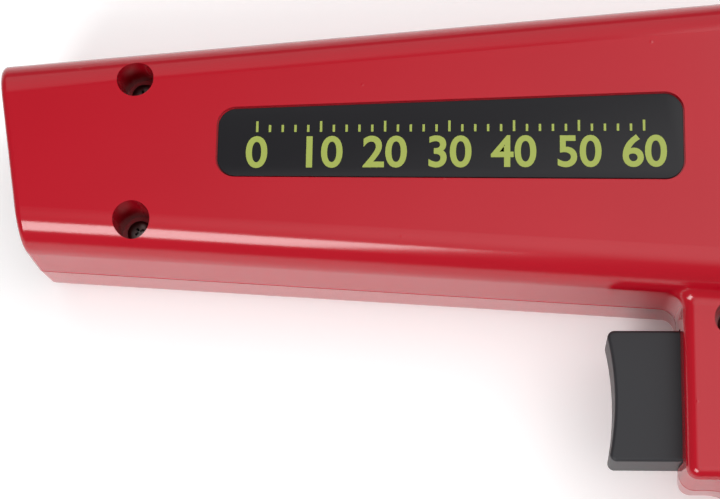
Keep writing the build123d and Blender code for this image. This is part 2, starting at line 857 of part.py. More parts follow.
def switch_body():
    length, height, depth = switch_size
    high = switch_low_y + height
    body = slab(switch_face_x, switch_face_x + length, switch_low_y, high, -depth / 2, depth / 2)
    body = fillet(body.edges().filter_by(Axis.Z), 0.5)
    ear = rod_z(lever_pivot_x, lever_pivot_y, lever_knuckle_radius, 0, ear_thickness)
    ear_low = lever_pivot_y - lever_knuckle_radius
    ear_high = lever_pivot_y + lever_knuckle_radius
    ear += slab(lever_pivot_x, switch_face_x + 0.5, ear_low, ear_high, 0, ear_thickness)
    for low_z in (-depth / 2, depth / 2 - ear_thickness):
        body += Pos(0, 0, low_z) * ear
    body -= rod_z(lever_pivot_x, lever_pivot_y, pin_radius + pin_clearance, -depth, depth)
    bore = plunger_length + 2
    bore_radius = plunger_radius + plunger_clearance
    bore_y = lever_pivot_y + plunger_arm
    body -= rod_x(bore_y, 0, bore_radius, switch_face_x - 1, switch_face_x + bore)
    for x, y in switch_screw_places():
        body -= rod_z(x, y, switch_screw_radius + 0.1, -depth, depth)
    return body


def switch_lever():
    """Spring-steel lever, drawn upright and then leaned forward to its rest angle."""
    half = lever_thickness / 2
    blade = slab(-half, half, 0, lever_length, -lever_half_width, lever_half_width)
    lever = blade + rod_z(0, 0, lever_knuckle_radius, -lever_half_width, lever_half_width)
    lever -= rod_z(0, 0, pin_radius + pin_clearance, -far, far)
    return Pos(lever_pivot_x, lever_pivot_y, 0) * Rot(0, 0, lever_rest_angle) * lever


def switch_lever_pin():
    half = switch_size[2] / 2
    return rod_z(lever_pivot_x, lever_pivot_y, pin_radius, -half, half)


def switch_plunger():
    rest = math.radians(lever_rest_angle)
    lever_back = lever_pivot_x - plunger_arm * math.tan(rest) + lever_thickness / 2 / math.cos(rest)
    tip = lever_back + plunger_radius * math.tan(rest) + plunger_tip_gap
    plunger = rod_x(lever_pivot_y + plunger_arm, 0, plunger_radius, tip, tip + plunger_length)
    nose = plunger.edges().filter_by(GeomType.CIRCLE).sort_by(Axis.X)[0]
    return fillet(nose, plunger_radius * 0.7)


def switch_terminals():
    length, height, depth = terminal_size
    back = switch_face_x + switch_size[0]
    terminals = []
    for rise in terminal_heights:
        y = switch_low_y + rise
        blade = slab(back, back + length, y - depth / 2, y + depth / 2, -height / 2, height / 2)
        eye = Pos(back + length - 1.6, y, 0) * Rot(90, 0, 0) * Cylinder(0.7, 2)
        terminals.append(blade - eye)
    return terminals


def switch_screws():
    seat = switch_size[2] / 2
    tip = -seat - board_screw_length + 1
    return [pan_screw(x, y, seat, tip, switch_screw_radius, 2.0, 1.4) for x, y in switch_screw_places()]


# ---- leads ----
def lamp_leads():
    """Three leads from the board's front edge: one to each electrode, one to the trigger wire."""
    tail = holder_x + seat_length + electrode_length
    low, high = leg_heights()
    board_x = board_front_x + board_edge_inset
    leads = []
    for number, (y, rear) in enumerate(((low, tail - 1), (lens_axis_y, tail), (high, tail - 1))):
        board_y = board_low_y + lamp_lead_rise + number * lamp_lead_pitch
        points = [
            (rear + 0.1, y, 0),
            (rear + lamp_lead_straight, y, 0),
            (board_x, board_y, board_top_z / 2),
            (board_x, board_y, board_top_z),
        ]
        leads.append(wire_along(points, [1.4, 1.8], lamp_lead_radius))
    return leads


def switch_leads():
    """Two leads from the switch's outer terminals up to the board's rear edge."""
    tip = switch_face_x + switch_size[0] + terminal_size[0]
    board_x = board_front_x + board_length - board_edge_inset
    leads = []
    for number, rise in enumerate((terminal_heights[0], terminal_heights[2])):
        y = switch_low_y + rise
        side = 1 - 2 * number
        z = side * switch_lead_spread
        board_y = board_low_y + 14 + 6 * number
        points = [
            (tip - switch_lead_lap, y, side * switch_lead_offset),
            (tip + switch_lead_straight, y, z),
            (tip - switch_lead_lean, 0, z),
            (board_x + 10, board_y, z),
            (board_x, board_y, board_top_z / 3),
            (board_x, board_y, board_top_z),
        ]
        leads.append(wire_along(points, [1.1, 6, 4, 2], switch_lead_radius))
    return leads


# ---- cable inlet ----
def cable_grommet():
    """Flanged rubber bush in the base of the grip, along the rake."""
    throat, base_front, base_rear, middle, down, across = grip_frame()
    place = Plane(origin=(middle.X, middle.Y, 0), z_dir=(down.X, down.Y, 0))
    outside = grommet_flange_thickness + grommet_clearance
    inside = grommet_length - outside
    bush = Pos(0, 0, (outside - inside) / 2) * Cylinder(grommet_neck_radius, grommet_length)
    flange = Cylinder(grommet_flange_radius, grommet_flange_thickness)
    bush += Pos(0, 0, outside - grommet_flange_thickness / 2) * flange
    rim = bush.edges().filter_by(GeomType.CIRCLE).sort_by(Axis.Z)[-1]
    bush = fillet(rim, grommet_flange_thickness * 0.5)
    lean = grommet_flange_radius * math.tan(math.radians(draft))
    inner_low = -wall - lean - grommet_clearance - grommet_flange_thickness / 2
    bush += Pos(0, 0, inner_low) * flange
    bush -= Cylinder(cable_bore_radius, 4 * grommet_length)
    return place * bush


def build_nodes():
    outer = outer_half()
    shell = shell_half(outer)
    return {
        "left_housing": left_housing(outer, shell),
        "right_housing": right_housing(outer, shell),
        "left_label": label_plate(),
        "right_label": mirror(label_plate(), about=Plane.XY),
        "housing_screws": housing_screws(),
        "lens_bezel": lens_bezel(),
        "front_lens": front_lens(),
        "lens_gasket": lens_gasket(),
        "reflector": reflector(),
        "reflector_holder": reflector_holder(),
        "flash_tube": flash_tube(),
        "tube_electrodes": tube_electrodes(),
        "tube_seat": tube_seat(),
        "tube_trigger_wire": tube_trigger_wire(),
        "circuit_board": circuit_board(),
        "board_screws": board_screws(),
        "transformer_core": transformer_frame(),
        "transformer_bobbin": transformer_bobbin(),
        "transformer_winding": transformer_winding(),
        "storage_capacitor": storage_capacitor(),
        "filter_capacitor": filter_capacitor(),
        "trigger_coil": trigger_coil(),
        "power_transistor": power_transistor(),
        "heat_sink": heat_sink(),
        "rectifier_diodes": rectifier_diodes(),
        "resistors": resistors(),
        "thyristor": thyristor(),
        "trigger_button": trigger_button(),
        "trigger_spring": trigger_spring(),
        "switch_body": switch_body(),
        "switch_lever": switch_lever(),
        "switch_lever_pin": switch_lever_pin(),
        "switch_plunger": switch_plunger(),
        "switch_terminals": switch_terminals(),
        "switch_screws": switch_screws(),
        "lamp_leads": lamp_leads(),
        "switch_leads": switch_leads(),
        "cable_grommet": cable_grommet(),
    }


def main():
    nodes = build_nodes()
    box = nodes["left_housing"].bounding_box().add(nodes["cable_grommet"].bounding_box())
    middle = box.center()
    place = Pos(-middle.X, -middle.Y, half_width)
    os.makedirs("parts", exist_ok=True)
    for name, shape in nodes.items():
        pieces = shape if isinstance(shape, list) else [shape]
        export_step(Compound([place * piece for piece in pieces]), f"parts/{name}.step")
    print("moved by", -middle.X, -middle.Y, half_width)
    print("size", box.size.X, box.size.Y, 2 * half_width)


main()
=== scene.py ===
# %% [markdown]
# # Timing light: the looks around the fixed parts
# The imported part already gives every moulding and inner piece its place. This lesson
# loads it, gives each material slot a finish, and swaps the plain pieces whose real
# surface has more to show (screws, label, lens, spring, wire turns) for finer ones.

# %% Load the fixed parts
import math

import bmesh
import bpy
from mathutils import Matrix, Vector


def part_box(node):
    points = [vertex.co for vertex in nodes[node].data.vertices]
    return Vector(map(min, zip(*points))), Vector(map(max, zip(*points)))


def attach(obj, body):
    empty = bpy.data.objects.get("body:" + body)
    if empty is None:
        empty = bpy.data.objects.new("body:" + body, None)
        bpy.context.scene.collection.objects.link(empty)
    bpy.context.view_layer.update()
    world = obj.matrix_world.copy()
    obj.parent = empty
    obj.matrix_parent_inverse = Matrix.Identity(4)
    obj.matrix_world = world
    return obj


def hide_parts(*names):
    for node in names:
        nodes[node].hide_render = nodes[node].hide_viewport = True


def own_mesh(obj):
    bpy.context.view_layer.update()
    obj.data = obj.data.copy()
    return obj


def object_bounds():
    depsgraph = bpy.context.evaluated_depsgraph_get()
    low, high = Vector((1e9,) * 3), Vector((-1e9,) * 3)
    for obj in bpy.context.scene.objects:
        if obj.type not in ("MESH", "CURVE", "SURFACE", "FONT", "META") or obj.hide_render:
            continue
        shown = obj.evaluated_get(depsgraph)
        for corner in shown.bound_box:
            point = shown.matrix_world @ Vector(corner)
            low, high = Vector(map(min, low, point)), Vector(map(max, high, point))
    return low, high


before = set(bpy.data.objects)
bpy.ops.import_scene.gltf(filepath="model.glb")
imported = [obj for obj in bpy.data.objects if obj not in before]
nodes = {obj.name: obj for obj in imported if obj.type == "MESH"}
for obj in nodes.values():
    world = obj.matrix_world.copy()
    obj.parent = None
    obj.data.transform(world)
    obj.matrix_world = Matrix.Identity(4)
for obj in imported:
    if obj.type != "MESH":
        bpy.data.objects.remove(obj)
box_before = [list(corner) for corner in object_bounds()]
MM = 0.001
print("parts loaded:", len(nodes), "box:", box_before)

# %% [markdown]
# ## Places on the tool
# The housing was drawn from the front of its barrel, with its parting plane at zero.
# One shift takes those sizes to the frame. The left housing's low face gives the
# parting plane, and the lens gives the axis of the lamp.

# %% A helper from drawing sizes to the frame
lens_low, lens_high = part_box("front_lens")
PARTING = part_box("left_housing")[0].z
SHIFT = Vector((-0.110246, 0.028801, PARTING))


def at(x, y, z=0.0):
    """A place given in millimetres from the barrel's front, in the frame."""
    return SHIFT + Vector((x, y, z)) * MM


AXIS_Y = (lens_low.y + lens_high.y) / 2
print("parting plane at", round(PARTING, 4), "lamp axis at", round(AXIS_Y, 4))

# %% [markdown]
# ## Finishes
# Almost everything here is moulded plastic, wire or plated metal, so one Principled
# shader per slot does it. A helper makes the material and sets the constants on the
# shader's own sockets, and small functions add what varies over the surface.


# %% A helper for a plain finish
def finish_named(name, colour, roughness, metallic=0.0, **sockets):
    material = bpy.data.materials.new(name)
    material.use_nodes = True
    shader = material.node_tree.nodes["Principled BSDF"]
    shader.inputs["Base Color"].default_value = (*colour, 1.0)
    shader.inputs["Roughness"].default_value = roughness
    shader.inputs["Metallic"].default_value = metallic
    for socket, value in sockets.items():
        shader.inputs[socket.replace("_", " ")].default_value = value
    return material


def add_node(material, kind, **settings):
    node = material.node_tree.nodes.new(kind)
    for name, value in settings.items():
        node.inputs[name.replace("_", " ")].default_value = value
    return node


def object_noise(material, scale, detail=2.0, stretch=(1.0, 1.0, 1.0)):
    """Noise that stays on the piece, from its own coordinates."""
    links = material.node_tree.links
    place = add_node(material, "ShaderNodeTexCoord")
    mapping = add_node(material, "ShaderNodeMapping", Scale=stretch)
    noise = add_node(material, "ShaderNodeTexNoise", Scale=scale, Detail=detail)
    links.new(place.outputs["Object"], mapping.inputs["Vector"])
    links.new(mapping.outputs["Vector"], noise.inputs["Vector"])
    return noise


# %% [markdown]
# Moulded plastic is never perfectly flat. Two bumps are laid on the red housing: a
# slow sink and swell that bends the reflections, and rare small grains of dust under
# the gloss. The grains come from the cells of a Voronoi pattern, cut off close to
# their centres, so most of the surface stays clean.


# %% Bumps shared by the moulded pieces
def bump_from(material, height, strength, distance, below=None):
    bump = add_node(material, "ShaderNodeBump", Strength=strength, Distance=distance)
    links = material.node_tree.links
    links.new(height, bump.inputs["Height"])
    if below is not None:
        links.new(below.outputs["Normal"], bump.inputs["Normal"])
    shader = material.node_tree.nodes["Principled BSDF"]
    links.new(bump.outputs["Normal"], shader.inputs["Normal"])
    return bump


def dust_grains(material, scale, share):
    """1 on a few small round grains, 0 elsewhere."""
    links = material.node_tree.links
    place = add_node(material, "ShaderNodeTexCoord")
    cells = add_node(material, "ShaderNodeTexVoronoi", Scale=scale)
    grain = add_node(material, "ShaderNodeMapRange", From_Min=0.10, From_Max=0.04)
    rare = add_node(material, "ShaderNodeMath")
    rare.operation = "LESS_THAN"
    rare.inputs[1].default_value = share
    both = add_node(material, "ShaderNodeMath")
    both.operation = "MULTIPLY"
    split = add_node(material, "ShaderNodeSeparateColor")
    links.new(place.outputs["Object"], cells.inputs["Vector"])
    links.new(cells.outputs["Distance"], grain.inputs["Value"])
    links.new(cells.outputs["Color"], split.inputs["Color"])
    links.new(split.outputs["Red"], rare.inputs[0])
    links.new(grain.outputs["Result"], both.inputs[0])
    links.new(rare.outputs["Value"], both.inputs[1])
    return both.outputs["Value"]


def vary_colour(material, factor, low, high):
    """Turns a 0 to 1 pattern into the base colour between two colours."""
    ramp = add_node(material, "ShaderNodeMix")
    ramp.data_type = "RGBA"
    ramp.inputs["A"].default_value = (*low, 1.0)
    ramp.inputs["B"].default_value = (*high, 1.0)
    links = material.node_tree.links
    links.new(factor, ramp.inputs["Factor"])
    shader = material.node_tree.nodes["Principled BSDF"]
    links.new(ramp.outputs["Result"], shader.inputs["Base Color"])


# %% The red housing
RED_DEEP = (0.39, 0.0022, 0.0115)
RED_FRESH = (0.42, 0.0028, 0.0135)


def red_plastic():
    material = finish_named("housing_red_gloss", RED_FRESH, 0.15, IOR=1.5)
    swell = object_noise(material, 38.0, 1.0)
    vary_colour(material, swell.outputs["Fac"], RED_DEEP, RED_FRESH)
    slow = bump_from(material, swell.outputs["Fac"], 0.5, 0.00012)
    bump_from(material, dust_grains(material, 210.0, 0.10), 0.6, 0.00006, slow)
    return material


finishes = {"housing_red": red_plastic()}
print("finish:", finishes["housing_red"].name)


# %% [markdown]
# The other mouldings are matt or satin. The black trigger and bezel have a fine
# spark-eroded grain, and the rubber pieces are duller and a little mottled.


# %% Satin mouldings, rubber and paint
def grained(name, colour, roughness, grain_scale=2600.0, grain_height=0.00003, **sockets):
    material = finish_named(name, colour, roughness, **sockets)
    grain = object_noise(material, grain_scale, 2.0)
    bump_from(material, grain.outputs["Fac"], 0.35, grain_height)
    return material


TRIGGER_TINT = (0.022, 0.022, 0.025)
LABEL_TINT = (0.011, 0.0105, 0.0125)
finishes["trigger_black"] = grained(
    "trigger_black_satin", TRIGGER_TINT, 0.45, Specular_IOR_Level=0.3,
)
finishes["bezel_black"] = grained("bezel_black_satin", (0.014, 0.014, 0.015), 0.4)
finishes["label_black"] = grained(
    "label_black_film", LABEL_TINT, 0.36, 900.0, Specular_IOR_Level=0.22,
)
finishes["seal_rubber"] = grained("seal_rubber", (0.02, 0.02, 0.021), 0.7, 1500.0)
finishes["holder_white"] = grained("holder_white", (0.74, 0.72, 0.68), 0.45)
finishes["bobbin_plastic"] = grained("bobbin_plastic", (0.62, 0.58, 0.46), 0.5)
finishes["switch_plastic"] = grained("switch_plastic", (0.03, 0.03, 0.033), 0.38)
finishes["plunger_red"] = finish_named("plunger_red", (0.45, 0.03, 0.02), 0.35)
finishes["semiconductor"] = grained("semiconductor_epoxy", (0.028, 0.028, 0.03), 0.5)
finishes["coil_potting"] = finish_named("coil_potting", (0.05, 0.018, 0.012), 0.3)
finishes["capacitor_sleeve"] = finish_named("capacitor_sleeve", (0.022, 0.05, 0.16), 0.28)
finishes["resistor_body"] = finish_named("resistor_body", (0.52, 0.36, 0.2), 0.4)
finishes["lead_insulation"] = finish_named("lead_insulation", (0.5, 0.42, 0.05), 0.45)
finishes["ferrite"] = grained("ferrite", (0.045, 0.044, 0.043), 0.6, 1800.0, 0.00006)
finishes["board_green"] = finish_named("board_green_mask", (0.018, 0.11, 0.045), 0.3)
print("finishes:", len(finishes))


# %% [markdown]
# Metals are full metallic, and differ only in tint and in how far they are polished.
# The clear lens and the flash tube transmit. The lens is acrylic, the tube is glass.


# %% Metals and clear pieces
def metal(name, colour, roughness):
    material = finish_named(name, colour, roughness, 1.0)
    scratch = object_noise(material, 900.0, 3.0, (1.0, 6.0, 1.0))
    bump_from(material, scratch.outputs["Fac"], 0.2, 0.00002)
    return material


finishes["reflector_bright"] = finish_named("reflector_bright", (0.93, 0.93, 0.94), 0.05, 1.0)
finishes["nickel"] = metal("nickel_wire", (0.7, 0.67, 0.62), 0.22)
finishes["screw_steel"] = metal("screw_black_oxide", (0.16, 0.15, 0.145), 0.32)
finishes["spring_steel"] = metal("spring_steel", (0.5, 0.5, 0.52), 0.25)
finishes["terminal_brass"] = metal("terminal_brass", (0.75, 0.55, 0.2), 0.28)
finishes["heat_sink_metal"] = metal("heat_sink_anodised", (0.06, 0.06, 0.065), 0.45)
finishes["copper_winding"] = metal("enamelled_copper", (0.72, 0.28, 0.11), 0.26)
finishes["lens_clear"] = finish_named("lens_acrylic", (0.97, 0.98, 0.98), 0.02, IOR=1.49)
finishes["tube_glass"] = finish_named("tube_glass", (0.95, 0.97, 0.98), 0.02, IOR=1.47)
for slot in ("lens_clear", "tube_glass"):
    shader = finishes[slot].node_tree.nodes["Principled BSDF"]
    shader.inputs["Transmission Weight"].default_value = 1.0
print("finishes:", len(finishes))

# %% Give each part the finish of its slot
slot_of = {}
for name, part in nodes.items():
    slot = part.data.materials[0].name.split(".")[0]
    slot_of[name] = slot
    part.data.materials[0] = finishes[slot]
print("slots used:", sorted(set(slot_of.values())))

# %% [markdown]
# ## Helpers for new pieces
# Each new piece is shaped in a bmesh, then becomes an object at the origin with its
# place in its mesh. One helper makes the object, says which body it rides on, which
# part it stands for and which slot its finish comes from.


# %% A bmesh becomes a piece
def piece_from(shape, name, slot, replaced=(), body="housing", smooth_below=40.0, look=None):
    bmesh.ops.remove_doubles(shape, verts=shape.verts, dist=1e-7)
    bmesh.ops.recalc_face_normals(shape, faces=shape.faces)
    for face in shape.faces:
        face.smooth = True
    limit = math.radians(smooth_below)
    for edge in shape.edges:
        edge.smooth = len(edge.link_faces) == 2 and edge.calc_face_angle(0.0) < limit
    mesh = bpy.data.meshes.new(name)
    shape.to_mesh(mesh)
    shape.free()
    mesh.materials.append(look or finishes[slot])
    piece = bpy.data.objects.new(name, mesh)
    bpy.context.scene.collection.objects.link(piece)
    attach(piece, body)
    if replaced:
        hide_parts(*replaced)
    print(name, "faces:", len(mesh.polygons))
    return piece


def lathe(shape, profile, steps, centre, axis):
    """Spins a profile of (along, radius) points about an axis through centre."""
    axis = Vector(axis)
    side = axis.orthogonal().normalized()
    ring = [shape.verts.new(centre + axis * along + side * radius) for along, radius in profile]
    edges = [shape.edges.new(pair) for pair in zip(ring, ring[1:])]
    bmesh.ops.spin(
        shape, geom=ring + edges, cent=centre, axis=axis,
        angle=math.tau, steps=steps, use_merge=True, use_duplicate=False,
    )
    bmesh.ops.remove_doubles(shape, verts=shape.verts, dist=1e-7)


# %% [markdown]
# ## Housing screws
# The five screws are pan heads with a cross recess, at the bottom of deep round wells.
# A head is a spun profile. The cross is cut by a boolean with two crossed, tapered
# bars, because a recess is one clean cut on the real head too. The shank's thread is a
# spun profile as well, so its ridges are rings, which are hidden inside the boss. The
# screw in the grip is found along the grip's own rake.

# %% Sizes of a screw
HEAD_RADIUS = 3.0
HEAD_HEIGHT = 2.2
HEAD_RIM = 1.2
HEAD_STEPS = 8
SHANK_RADIUS = 1.4
THREAD_DEPTH = 0.22
THREAD_PITCH = 0.9
SHANK_END = -10.0
BARREL_SEAT = 8.0
GRIP_SEAT = 8.0
screw_places = [
    (33.4, 41.4, BARREL_SEAT),
    (33.9, 7.4, BARREL_SEAT),
    (192.0, 46.0, BARREL_SEAT),
    (171.5, -14.0, GRIP_SEAT),
]

# %% The screw in the leaning grip
GRIP_RAKE = math.radians(13.0)
THROAT = Vector((173.0, -51.2))
GRIP_LENGTH = 72.0
GRIP_DEPTH = 33.0
SCREW_RISE = 20.0
SCREW_OFFSET = 6.5
down = Vector((math.sin(GRIP_RAKE), -math.cos(GRIP_RAKE)))
across = Vector((math.cos(GRIP_RAKE), math.sin(GRIP_RAKE)))
grip_screw = THROAT + down * (GRIP_LENGTH - SCREW_RISE) + across * (GRIP_DEPTH / 2 - SCREW_OFFSET)
screw_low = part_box("housing_screws")[0]
grip_screw_y = (screw_low.y - SHIFT.y) / MM + HEAD_RADIUS
screw_places.append((grip_screw.x, grip_screw_y, GRIP_SEAT))
print("grip screw at", round(grip_screw.x, 2), round(grip_screw.y, 2), round(grip_screw_y, 2))


# %% One screw
def screw_profile(seat):
    points = [(seat + HEAD_HEIGHT, 0.0)]
    for step in range(1, HEAD_STEPS + 1):
        angle = math.radians(90.0 * step / HEAD_STEPS)
        radius = HEAD_RADIUS * math.sin(angle)
        points.append((seat + HEAD_RIM + (HEAD_HEIGHT - HEAD_RIM) * math.cos(angle), radius))
    points += [(seat, HEAD_RADIUS), (seat, SHANK_RADIUS)]
    turns = int((seat - SHANK_END - 1.5) / THREAD_PITCH)
    for turn in range(turns):
        high = seat - 0.5 - turn * THREAD_PITCH
        points.append((high, SHANK_RADIUS - THREAD_DEPTH))
        points.append((high - THREAD_PITCH / 2, SHANK_RADIUS))
    points += [(SHANK_END + 0.4, SHANK_RADIUS - THREAD_DEPTH), (SHANK_END, 0.0)]
    return points


def cross_recess(top, turn):
    """Two crossed bars that narrow downwards, as a cutter."""
    shape = bmesh.new()
    for half_turn in (0.0, math.pi / 2):
        bar = bmesh.ops.create_cube(shape, size=1.0)["verts"]
        bmesh.ops.scale(shape, vec=(3.3, 0.75, 2.6), verts=bar)
        low = [vert for vert in bar if vert.co.z < 0]
        bmesh.ops.scale(shape, vec=(0.45, 0.6, 1.0), verts=low)
        bmesh.ops.rotate(shape, matrix=Matrix.Rotation(half_turn + turn, 3, "Z"), verts=bar)
    bmesh.ops.translate(shape, vec=(0, 0, top), verts=shape.verts)
    mesh = bpy.data.meshes.new("cross_cutter")
    shape.to_mesh(mesh)
    shape.free()
    return bpy.data.objects.new("cross_cutter", mesh)


def cut_with(shape, cutter):
    """The bmesh with the cutter's volume taken out of it."""
    mesh = bpy.data.meshes.new("blank")
    shape.to_mesh(mesh)
    shape.free()
    blank = bpy.data.objects.new("blank", mesh)
    for thing in (blank, cutter):
        bpy.context.scene.collection.objects.link(thing)
    boolean = blank.modifiers.new("cut", "BOOLEAN")
    boolean.object = cutter
    boolean.solver = "EXACT"
    boolean.use_self = True
    graph = bpy.context.evaluated_depsgraph_get()
    result = bpy.data.meshes.new_from_object(blank.evaluated_get(graph))
    cut = bmesh.new()
    cut.from_mesh(result)
    for thing in (blank, cutter):
        bpy.data.objects.remove(thing)
    return cut


for number, (x, y, seat) in enumerate(screw_places, 1):
    shape = bmesh.new()
    lathe(shape, screw_profile(seat), 40, Vector((0, 0, 0)), (0, 0, 1))
    bmesh.ops.recalc_face_normals(shape, faces=shape.faces)
    shape = cut_with(shape, cross_recess(seat + HEAD_HEIGHT, math.radians(17.0 * number)))
    bmesh.ops.scale(shape, vec=(MM, MM, MM), verts=shape.verts)
    bmesh.ops.translate(shape, vec=at(x, y), verts=shape.verts)
    replaced = ["housing_screws"] if number == 1 else []
    piece_from(shape, f"housing_screw_{number}", "screw_steel", replaced)

# %% [markdown]
# ## Labels
# Each side carries a thin black plate in a shallow recess. Its edges get a small
# bevel so that they catch the light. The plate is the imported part's own outline: its
# mesh is copied, its loose triangles are merged, and the rim is bevelled.


# %% Bevelled label plates
LABEL_BEVEL = 0.16 * MM


def label_plate(side):
    shape = bmesh.new()
    shape.from_mesh(nodes[f"{side}_label"].data)
    bmesh.ops.remove_doubles(shape, verts=shape.verts, dist=1e-6)
    bmesh.ops.dissolve_limit(shape, angle_limit=math.radians(1), verts=shape.verts, edges=shape.edges)
    rim = [edge for edge in shape.edges if edge.calc_face_angle(0.0) > math.radians(60)]
    bmesh.ops.bevel(
        shape, geom=rim, offset=LABEL_BEVEL, segments=3, profile=0.5,
        affect="EDGES", material=-1,
    )
    return piece_from(shape, f"label_plate_{side}", "label_black", [f"{side}_label"], smooth_below=30)


for side in ("left", "right"):
    label_plate(side)

# %% [markdown]
# ## Printed scale
# The plate carries a plain scale in yellow-green ink: numbers in tens with a line of
# ticks above them, long at each number and short between. The numbers are text
# objects made into meshes, and each tick is a thin bar. All of it is one print, a
# fraction of a millimetre proud of the plate.

# %% Sizes of the print
SCALE_FRONT = 62.5
SCALE_REAR = 151.5
SCALE_BASE = 19.8
CAP_HEIGHT = 7.2
TICK_LONG = 2.6
TICK_SHORT = 1.7
TICK_WIDTH = 0.55
INK_THICKNESS = 0.05
CAP_SHARE = 0.69
STROKE_GROWTH = 0.2
TICK_GAP = 1.2
TICKS_PER_NUMBER = 5
NUMBERS = range(0, 70, 10)
INK = finish_named("scale_ink", (0.3, 0.355, 0.062), 0.42)
plate_top = (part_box("left_label")[1].z - PARTING) / MM
print("plate top at", round(plate_top, 2))


# %% The numbers and ticks as one mesh
def number_mesh(text):
    curve = bpy.data.curves.new("number", "FONT")
    curve.body = text
    curve.align_x = "CENTER"
    curve.size = CAP_HEIGHT / CAP_SHARE
    curve.extrude = INK_THICKNESS / 2
    curve.offset = STROKE_GROWTH
    curve.resolution_u = 6
    lettering = bpy.data.objects.new("number", curve)
    bpy.context.scene.collection.objects.link(lettering)
    graph = bpy.context.evaluated_depsgraph_get()
    mesh = bpy.data.meshes.new_from_object(lettering.evaluated_get(graph))
    bpy.data.objects.remove(lettering)
    return mesh


def printed_scale(side):
    shape = bmesh.new()
    step = (SCALE_REAR - SCALE_FRONT) / (len(NUMBERS) - 1)
    for index, value in enumerate(NUMBERS):
        mesh = number_mesh(str(value))
        start = len(shape.verts)
        shape.from_mesh(mesh)
        shape.verts.ensure_lookup_table()
        place = (SCALE_FRONT + index * step, SCALE_BASE, 0)
        bmesh.ops.translate(shape, vec=place, verts=shape.verts[start:])
    tick_low = SCALE_BASE + CAP_HEIGHT + TICK_GAP
    for tick in range(TICKS_PER_NUMBER * (len(NUMBERS) - 1) + 1):
        height = TICK_SHORT if tick % TICKS_PER_NUMBER else TICK_LONG
        bar = bmesh.ops.create_cube(shape, size=1.0)["verts"]
        bmesh.ops.scale(shape, vec=(TICK_WIDTH, height, INK_THICKNESS), verts=bar)
        place = (SCALE_FRONT + tick * step / TICKS_PER_NUMBER, tick_low + height / 2, 0)
        bmesh.ops.translate(shape, vec=place, verts=bar)
    middle = (SCALE_FRONT + SCALE_REAR) / 2
    if side == "right":
        turn = Matrix.Translation((middle, 0, 0)) @ Matrix.Rotation(math.pi, 4, "Y")
        turn = turn @ Matrix.Translation((-middle, 0, 0))
        bmesh.ops.transform(shape, matrix=turn, verts=shape.verts)
    height = plate_top + INK_THICKNESS / 2
    rise = height if side == "left" else -height
    bmesh.ops.translate(shape, vec=(0, 0, rise), verts=shape.verts)
    bmesh.ops.scale(shape, vec=(MM, MM, MM), verts=shape.verts)
    bmesh.ops.translate(shape, vec=SHIFT, verts=shape.verts)
    return piece_from(shape, f"printed_scale_{side}", "label_black", look=INK)


for side in ("left", "right"):
    printed_scale(side)

# %% [markdown]
# ## Lens
# The lens is a plano-convex acrylic disc. A spun profile with a fine dome bends the
# view of the reflector smoothly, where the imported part's facets would show.

# %% The lens as a spun profile
LENS_EDGE = 2.5 * MM
LENS_LIP = 2.4 * MM
LENS_STEPS = 24
lens_radius = (lens_high.y - lens_low.y) / 2
dome_radius = lens_radius - LENS_LIP
lens_flat = lens_high.x
dome_height = lens_high.x - lens_low.x - LENS_EDGE
sphere = (dome_radius ** 2 + dome_height ** 2) / (2 * dome_height)
profile = [(0.0, 0.0), (0.0, lens_radius), (-LENS_EDGE, lens_radius), (-LENS_EDGE, dome_radius)]
for step in range(LENS_STEPS - 1, -1, -1):
    radius = dome_radius * step / LENS_STEPS
    rise = math.sqrt(sphere ** 2 - radius ** 2) - (sphere - dome_height)
    profile.append((-LENS_EDGE - rise, radius))
shape = bmesh.new()
lathe(shape, profile, 96, Vector((lens_flat, AXIS_Y, PARTING)), (1, 0, 0))
piece_from(shape, "lens_fine", "lens_clear", ["front_lens"])

# %% [markdown]
# ## Trigger spring
# The spring is a closed-end compression coil between the trigger's stem and a rib.
# The rule that turns and climbs a point is a formula, so the wire's centre line is a
# curve whose points a loop works out, and a round bevel gives it thickness. It is made
# a mesh.

# %% The coil
spring_low, spring_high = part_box("trigger_spring")
COIL_TURNS = 8.0
DEAD_TURNS = 0.9
COIL_STEPS = 28
WIRE = 0.4 * MM
coil_radius = (spring_high.y - spring_low.y) / 2 - WIRE
coil_y = (spring_low.y + spring_high.y) / 2
coil_length = spring_high.x - spring_low.x - 2 * WIRE


def coil_travel(turn):
    """How far along the coil the wire is, with flat turns at both ends."""
    lead = 2 * WIRE * DEAD_TURNS
    if turn < DEAD_TURNS:
        return 2 * WIRE * turn
    if turn > COIL_TURNS - DEAD_TURNS:
        return coil_length - 2 * WIRE * (COIL_TURNS - turn)
    return lead + (coil_length - 2 * lead) * (turn - DEAD_TURNS) / (COIL_TURNS - 2 * DEAD_TURNS)


def wire_mesh(points, radius, name, sides=3, closed=False):
    curve = bpy.data.curves.new(name, "CURVE")
    curve.dimensions = "3D"
    curve.bevel_depth = radius
    curve.bevel_resolution = sides
    curve.use_fill_caps = not closed
    line = curve.splines.new("POLY")
    line.points.add(len(points) - 1)
    for point, place in zip(line.points, points):
        point.co = (*place, 1.0)
    line.use_cyclic_u = closed
    thread = bpy.data.objects.new(name, curve)
    bpy.context.scene.collection.objects.link(thread)
    graph = bpy.context.evaluated_depsgraph_get()
    mesh = bpy.data.meshes.new_from_object(thread.evaluated_get(graph))
    bpy.data.objects.remove(thread)
    shape = bmesh.new()
    shape.from_mesh(mesh)
    return shape


